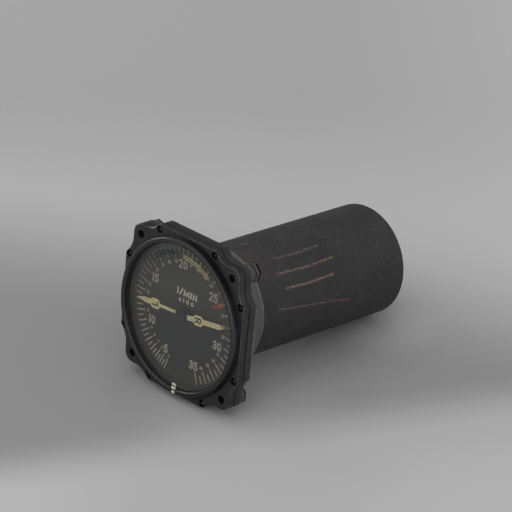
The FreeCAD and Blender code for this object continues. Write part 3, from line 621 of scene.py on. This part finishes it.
def metal(name, dark, light, roughness, stretch=(1.0, 1.0, 1.0)):
    """Worked metal: slight tarnish in patches and fine tool marks."""
    surface = Surface(name, metallic=1.0)
    surface.set("Base Color", surface.mix(surface.patches(3.0, 5.0), dark, light))
    marks = surface.noise(0.4, 3.0, stretch=stretch)
    surface.set("Roughness", surface.span(marks, roughness - 0.08, roughness + 0.12))
    surface.set("Normal", surface.bump(marks, 0.01))
    return surface.material


def lamination_metal():
    """Stacked laminations: thin dark lines across the depth of the core."""
    surface = Surface("lamination_stack", metallic=0.8)
    _, along, _ = surface.axes()
    pitch = 0.7
    wave = surface.math("SINE", surface.product(along, math.tau / (pitch * MM)))
    body = surface.mix(surface.patches(2.0), shade(96, 98, 104), shade(122, 122, 126))
    line = surface.product(surface.steps(wave, 0.4, 0.9), 0.7)
    surface.set("Base Color", surface.mix(line, body, shade(48, 46, 44)))
    surface.set("Roughness", surface.span(surface.noise(0.8, 4.0), 0.35, 0.55))
    surface.set("Normal", surface.bump(wave, 0.03))
    return surface.material


def copper_winding():
    """Enamelled wire laid side by side, varnished."""
    surface = Surface("copper_winding", metallic=0.6)
    pitch = 0.35
    turns = surface.math("SINE", surface.product(surface.radius(), math.tau / (pitch * MM)))
    body = surface.mix(surface.patches(1.5), shade(128, 60, 30), shade(168, 92, 50))
    surface.set("Base Color", surface.mix(surface.steps(turns, 0.2, -0.9), body, shade(66, 30, 18)))
    surface.set("Roughness", surface.span(surface.noise(0.7, 4.0), 0.25, 0.45))
    surface.set("Normal", surface.bump(turns, 0.08))
    return surface.material


def dial_paint():
    """Dull black dial, painted lighter above as a painted reflection of the glass, browned toward its
    edge, with a little dust.
    """
    surface = Surface("dial_black", specular=0.25)
    body = surface.mix(surface.patches(9.0, 5.0), shade(45, 45, 46), shade(51, 51, 52))
    x, _, z = surface.axes()
    # Painted reflection: the dial is painted lighter toward its top.
    upward = surface.math("SUBTRACT", z, surface.product(x, 0.15))
    painted_reflection = surface.product(surface.ramp(upward, -14, 18), 0.85)
    body = surface.mix(painted_reflection, body, shade(73, 72, 68))
    brown = surface.product(surface.ramp(surface.radius(), 26, 31),
                            surface.span(surface.ramp(surface.toward_upper_left(), -20, 22), 0.45, 0.8))
    body = surface.mix(brown, body, shade(69, 65, 55))
    dust = surface.patches(0.9, 5.0, 0.8, limits=(0.68, 0.8))
    body = surface.mix(surface.product(dust, 0.25), body, shade(70, 68, 64))
    return surface.finish(body, (1.5, 5.0), (0.6, 0.8), (0.4, 3.0), 0.006)


def aged_paint(name, dark, light, size=1.2, browned=0.0, alpha=1.0):
    """Old paint of the markings: mottled, and where asked browned at the dial's upper left."""
    surface = Surface(name, specular=0.25)
    body = surface.mix(surface.patches(size, 5.0, 0.7), dark, light)
    if browned:
        share = surface.product(surface.ramp(surface.toward_upper_left(), 20, 29), browned)
        body = surface.mix(share, body, shade(98, 84, 64))
    surface.set("Alpha", alpha)
    return surface.finish(body, (0.8, 4.0), (0.6, 0.85), (0.25, 3.0), 0.01)


def pointer_paint(name, angle, start, red_from=None):
    """Pointer: black round the hub, cream beyond it, and on one a faded red tip."""
    surface = Surface(name, specular=0.3)
    x, _, z = surface.axes()
    turn = math.radians(angle)
    reach = surface.math("ADD", surface.product(x, math.sin(turn)), surface.product(z, math.cos(turn)))
    body = surface.mix(surface.patches(1.6, 5.0, 0.7), shade(190, 178, 132), shade(218, 206, 160))
    if red_from is not None:
        uneven = surface.math("ADD", reach, surface.product(surface.noise(1.2, 4.0), 1.2 * MM))
        tip = surface.product(surface.ramp(uneven, red_from, red_from + 1.6), 0.75)
        body = surface.mix(tip, body, shade(196, 126, 98))
    painted = surface.ramp(reach, start - 0.15, start + 0.15)
    body = surface.mix(painted, shade(42, 42, 43), body)
    return surface.finish(body, (0.8, 4.0), (0.5, 0.75), (0.3, 3.0), 0.01)


def shaft_metal():
    """Bright shaft whose front end, inside the pointer's hub, is blackened."""
    surface = Surface("long_shaft_steel")
    _, depth, _ = surface.axes()
    bright = surface.mix(surface.patches(3.0, 5.0), shade(170, 170, 172), shade(200, 200, 202))
    front = surface.ramp(depth, 4.5, 4.0)
    surface.set("Metallic", surface.math("SUBTRACT", 1.0, front))
    body = surface.mix(front, bright, shade(26, 26, 27))
    return surface.finish(body, (0.4, 3.0), (0.2, 0.36), (0.4, 3.0), 0.01)


def pane_glass():
    """Clear pane that lets the lamps through, with faint smears in its gloss."""
    surface = Surface("pane_glass")
    surface.set("Transmission Weight", 1.0)
    surface.set("IOR", 1.5)
    tint = surface.mix(surface.noise(20.0, 3.0), (0.93, 0.95, 0.94), (0.97, 0.98, 0.97))
    surface.set("Base Color", tint)
    surface.set("Roughness", surface.span(surface.noise(6.0, 6.0, 0.7), 0.0, 0.06))
    clear = surface.node("ShaderNodeBsdfTransparent")
    path = surface.node("ShaderNodeLightPath")
    blend = surface.node("ShaderNodeMixShader")
    links = surface.tree.links
    links.new(path.outputs["Is Shadow Ray"], blend.inputs[0])
    links.new(surface.shader.outputs[0], blend.inputs[1])
    links.new(clear.outputs[0], blend.inputs[2])
    links.new(blend.outputs[0], surface.tree.nodes["Material Output"].inputs["Surface"])
    return surface.material


def lead_colours():
    """Wire insulation whose colour changes from lead to lead round the axis."""
    surface = Surface("lead_insulation", specular=0.4)
    x, _, z = surface.axes()
    turn = surface.math("ARCTAN2", z, x)
    tenth = surface.math("FRACT", surface.math("ADD", surface.product(turn, 5 / math.pi), 0.5))
    warm = surface.mix(surface.steps(tenth, 0.3, 0.4), shade(150, 40, 34), shade(196, 168, 60))
    third = surface.math("SINE", surface.product(turn, 3.0))
    body = surface.mix(surface.steps(third, -0.1, 0.1), warm, shade(44, 62, 110))
    return surface.finish(body, (0.8, 4.0), (0.4, 0.6), (0.2, 2.0), 0.01)


def floor_paint():
    """Pale paper with painted light and shade: brighter toward the front and right, a soft painted
    shadow band and a painted light spot; toward is to the front right, aside to the back right.
    """
    surface = Surface("floor_paper", roughness=0.9, specular=0.1)
    right, back, _ = surface.axes()
    toward = surface.product(surface.math("SUBTRACT", right, back), math.sqrt(0.5))
    aside = surface.product(surface.math("ADD", right, back), math.sqrt(0.5))
    # Painted light: the paper is painted brighter toward the front and the right.
    body = surface.mix(surface.ramp(toward, -360, -180), shade(165, 165, 165), shade(180, 180, 180))
    body = surface.mix(surface.ramp(aside, 50, 300), body, shade(185, 185, 185))
    off_middle = surface.math("ABSOLUTE", surface.math("SUBTRACT", aside, 25 * MM))
    front = surface.product(surface.ramp(toward, 20, 100), surface.ramp(off_middle, 30, 110))
    body = surface.mix(front, body, shade(190, 190, 190))
    # Painted shadow: a soft darker band across the middle.
    lean = surface.product(aside, 0.3)
    painted_shadow = surface.product(surface.ramp(surface.math("SUBTRACT", toward, lean), -200, -50),
                           surface.ramp(surface.math("ADD", toward, lean), 75, 25),
                           surface.span(surface.ramp(off_middle, 0, 60), 0.32, 0.95))
    body = surface.mix(painted_shadow, body, shade(143, 143, 143))
    # Painted light: a lighter spot in the object's shadow at the right.
    painted_light_spot = surface.math("SQRT", surface.squares(surface.math("ADD", toward, 65 * MM),
                                                surface.math("SUBTRACT", aside, 98 * MM)))
    body = surface.mix(surface.product(surface.ramp(painted_light_spot, 36, 0), 0.5), body, shade(186, 186, 186))
    flecks = surface.product(surface.patches(1.5, 4.0, 0.7, limits=(0.62, 0.75)), 0.06)
    surface.set("Base Color", surface.mix(flecks, body, shade(110, 110, 110)))
    surface.set("Normal", surface.bump(surface.noise(0.5, 3.0), 0.02))
    return surface.material


# Materials of the CAD nodes
steel = metal("bright_steel", shade(170, 170, 172), shade(200, 200, 202), 0.25)
aluminium = metal("aluminium", shade(170, 172, 176), shade(198, 200, 203), 0.35, stretch=(1.0, 6.0, 1.0))
brass = metal("ring_brass", shade(176, 140, 66), shade(206, 172, 96), 0.25)
contact_metal = metal("contact_metal", shade(196, 164, 88), shade(222, 192, 120), 0.22)
laminations = lamination_metal()
winding = copper_winding()
insulator = paint("insulator_phenolic", shade(58, 34, 22), shade(78, 48, 30), 0.4)
hub_black = paint("hub_black", shade(38, 38, 39), shade(46, 46, 47), 0.5)
lead_skin = lead_colours()
MATERIALS = {
    "bezel": bezel_paint(),
    "bezel_screws": screw_paint(),
    "glass_gasket": paint("gasket_rubber", shade(24, 24, 24), shade(32, 32, 32), 0.8),
    "cover_glass": pane_glass(),
    # The spacer ring is painted mid grey rather than black: painted light for the glass's reflection
    # over its inner wall.
    "glass_spacer_ring": paint("spacer_painted_light", shade(78, 78, 77), shade(90, 90, 88), 0.5),
    "dial_plate": dial_paint(),
    "carrier_plate": metal("carrier_plate_metal", shade(150, 150, 152), shade(176, 176, 178), 0.4),
    "pillar_screws": steel,
    "front_pillars": steel,
    "middle_pillars": steel,
    "pointer_left": pointer_paint("pointer_left_paint", LEFT_ANGLE, 5.8),
    "pointer_left_hub": hub_black,
    "hollow_shaft": steel,
    "pilot_bush": brass,
    "pointer_right": pointer_paint("pointer_right_paint", RIGHT_ANGLE, 3.7, red_from=26.6),
    "pointer_right_hub": hub_black,
    "long_shaft": shaft_metal(),
    "case_front": casting_paint(),
    "mounting_nuts": nut_paint(),
    "case_tube": crinkle_paint(),
    "rear_support_ring": aluminium,
    "receptacle_shell": paint("shell_finish", shade(46, 46, 46), shade(60, 60, 58), 0.4),
    "receptacle_insert": insulator,
    "receptacle_contacts": contact_metal,
    "receptacle_screws": metal("blackened_steel", shade(44, 44, 46), shade(66, 64, 62), 0.45),
    "front_leads": lead_skin,
    "rear_leads": lead_skin,
}
UNIT_MATERIALS = {
    "unit_front_plate": aluminium,
    "unit_housing": aluminium,
    "unit_rear_plate": aluminium,
    "stator_core": laminations,
    "stator_winding": winding,
    "rotor_core": laminations,
    "rotor_coil": winding,
    "bearing_outers": steel,
    "bearing_inners": steel,
    "slip_ring_sleeve": insulator,
    "slip_rings": brass,
    "brushes": contact_metal,
    "brush_block": insulator,
}
for unit in ("front", "rear"):
    for part, material in UNIT_MATERIALS.items():
        MATERIALS[unit + "_" + part] = material
for name, node in nodes.items():
    if not node.material_slots:
        node.data.materials.append(None)
    for slot in node.material_slots:
        slot.material = MATERIALS[name]

# Scale of the dial: a long tick at each hundred and a short one midway
tick_paint = aged_paint("tick_paint", shade(150, 143, 122), shade(182, 174, 148), browned=0.55)
ticks = Sheet(DIAL_Y)
for half_hundred in range(2 * FIRST_HUNDRED, 2 * LAST_HUNDRED + 1):
    angle = scale_angle(half_hundred / 2)
    inner, outer = SHORT_TICK if half_hundred % 2 else LONG_TICK
    ticks.stroke([clock(inner, angle), clock(outer, angle)], TICK_WIDTH, cap=False)
ticks.piece("dial_ticks", tick_paint, "case", "pointer_paint")

cream = aged_paint("numeral_paint", shade(154, 148, 128), shade(182, 176, 154))
numerals = Sheet(DIAL_Y)
for number, centre in NUMERALS.items():
    lettering(numerals, str(number), upright(centre), NUMERAL_HEIGHT, NUMERAL_STROKE)
numerals.piece("dial_numerals", cream, "case", "pointer_paint")

small = Sheet(DIAL_Y)
for hundred in range(FIRST_HUNDRED, LAST_HUNDRED):
    if hundred not in NUMERALS:
        centre = clock(SMALL_RADIUS, scale_angle(hundred))
        lettering(small, str(hundred), upright(centre), SMALL_HEIGHT, SMALL_STROKE)
small.piece("dial_small_numerals", cream, "case", "pointer_paint")

# Generic unit and factor of the scale
white = aged_paint("lettering_paint", shade(190, 186, 166), shade(214, 210, 188))
words = Sheet(DIAL_Y)
lettering(words, "1/MIN", upright((0.2, 11.0)), height=3.5, stroke=0.84, gap=0.36, stretch=1.45)
lettering(words, "x100", upright((0.0, 7.0)), height=2.4, stroke=0.46, gap=0.72, stretch=1.45)
words.piece("dial_unit_lettering", white, "case", "pointer_paint")

# Letters on the pointers
letter_black = aged_paint("letter_black", shade(30, 28, 25), shade(42, 40, 34))
left_letter = Sheet(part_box("pointer_left")[0].y / MM)
lettering(left_letter, "L", on_pointer(LEFT_ANGLE, 20.2), height=4.2, stroke=0.72, stretch=1.1)
left_letter.piece("pointer_left_letter", letter_black, "left_pointer", "pointer_paint")
right_letter = Sheet(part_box("pointer_right")[0].y / MM)
lettering(right_letter, "R", on_pointer(RIGHT_ANGLE, 11.1), height=4.5, stroke=0.74, stretch=1.15)
right_letter.piece("pointer_right_letter", letter_black, "right_pointer", "pointer_paint")

# Range marks painted on the front of the glass, thin enough to see through
yellow = aged_paint("range_mark_yellow", shade(168, 160, 112), shade(196, 188, 138), alpha=0.85)
yellow_film = aged_paint("range_mark_film", shade(116, 110, 74), shade(136, 130, 90), alpha=0.55)
red = aged_paint("range_mark_red", shade(128, 66, 54), shade(170, 96, 80), size=1.6, alpha=0.52)
teal = aged_paint("range_mark_teal", shade(64, 72, 86), shade(70, 80, 94), alpha=0.4)
moss = aged_paint("range_mark_moss", shade(44, 58, 50), shade(54, 68, 60), alpha=0.3)
for name, radius, start, end, width, material in (
        ("range_arc_yellow", 31.9, -0.5, 34.0, 0.5, yellow),
        ("range_arc_yellow_inner", 30.4, -0.5, 34.0, 0.4, yellow),
        ("range_arc_film", 31.15, -0.5, 34.0, 1.2, yellow_film),
        ("range_arc_teal", 31.5, 326.0, 351.0, 3.2, teal),
        ("range_arc_teal_middle", 31.5, 331.0, 349.0, 2.0, teal),
        ("range_arc_moss", 31.5, 311.0, 333.0, 2.6, moss)):
    mark = Sheet(GLASS_Y, GLASS_PAINT)
    mark.stroke(arc_path(radius, start, end), width, cap=False)
    mark.piece(name, material, "case", "pointer_paint")
limit = Sheet(GLASS_Y, GLASS_PAINT)
limit.stroke([(21.5, 13.5), (28.8, 16.5)], 1.9, cap=False)
limit.stroke([(22.1, 14.2), (27.0, 16.2)], 0.7, cap=False)
limit.piece("range_limit_red", red, "case", "pointer_paint")

# Slippage mark: one dab from the glass up the rim's inner wall and one on the rim's crest
columns = len(DAB_SHARES)
for name, rows in DABS.items():
    points = []
    for radius, depth, half in rows:
        middle = DAB_MIDDLE - DAB_LEAN * (depth - DAB_START)
        for share in DAB_SHARES:
            x = middle + half * share
            rise = DAB_RISE * (1 - share * share)
            points.append((x, depth - rise, -math.sqrt(radius * radius - x * x) + rise))
    firsts = [columns * k + c for k in range(len(rows) - 1) for c in range(columns - 1)]
    faces = [[a, a + 1, a + 1 + columns, a + columns] for a in firsts]
    build(name, points, faces, white, "case")

# Floor: it touches the lower rear edge of the flange and the rear edge of the case
flange_touch = Vector((FLANGE_BACK * MM, flange_low.z))
case_touch = Vector((tube_high.y - TUBE_EDGE * MM, tube_low.z))
tilt = math.atan2(case_touch.y - flange_touch.y, case_touch.x - flange_touch.x)
corners = [(sx * FLOOR_HALF, sy * FLOOR_HALF, 0.0) for sx, sy in ((-1, -1), (1, -1), (1, 1), (-1, 1))]
floor_mesh = bpy.data.meshes.new("floor")
floor_mesh.from_pydata(corners, [], [[0, 1, 2, 3]])
floor_mesh.materials.append(floor_paint())
floor = bpy.data.objects.new("floor", floor_mesh)
bpy.context.scene.collection.objects.link(floor)
floor.rotation_euler = (tilt, 0, 0)
floor.location = (0, flange_touch.x, flange_touch.y)

# Light: a room that is brighter at the front right, a soft lamp overhead and one at the left
world = bpy.data.worlds.new("room")
bpy.context.scene.world = world
world.use_nodes = True
room = world.node_tree
backdrop = room.nodes["Background"]
backdrop.inputs["Color"].default_value = ROOM_TINT
direction = room.nodes.new("ShaderNodeTexCoord")
facing = room.nodes.new("ShaderNodeVectorMath")
facing.operation = "DOT_PRODUCT"
facing.inputs[1].default_value = BRIGHT_SIDE
level = room.nodes.new("ShaderNodeMapRange")
level.interpolation_type = "SMOOTHSTEP"
level.inputs["From Min"].default_value = -FADE
level.inputs["From Max"].default_value = FADE
level.inputs["To Min"].default_value = BACK_LEVEL
level.inputs["To Max"].default_value = FRONT_LEVEL
room.links.new(direction.outputs["Generated"], facing.inputs[0])
room.links.new(facing.outputs["Value"], level.inputs["Value"])
room.links.new(level.outputs["Result"], backdrop.inputs["Strength"])
for name, (place, aim, size, power) in LAMPS.items():
    light = bpy.data.lights.new(name, "AREA")
    light.shape = "DISK"
    light.size = size
    light.energy = power
    lamp = bpy.data.objects.new(name, light)
    bpy.context.scene.collection.objects.link(lamp)
    lamp.location = place
    lamp.rotation_euler = (Vector(aim) - Vector(place)).to_track_quat("-Z", "Y").to_euler()

# Camera
camera_data = bpy.data.cameras.new("camera")
camera_data.lens = CAMERA_LENS
camera_data.sensor_width = SENSOR_WIDTH
camera_data.clip_start = CLIP_START
camera_data.clip_end = CLIP_END
camera = bpy.data.objects.new("camera", camera_data)
bpy.context.scene.collection.objects.link(camera)
camera.location = Vector(CAMERA_PLACE) * MM
camera.rotation_euler = [math.radians(a) for a in CAMERA_TURN]
bpy.context.scene.camera = camera
bpy.context.scene.view_settings.view_transform = "Standard"
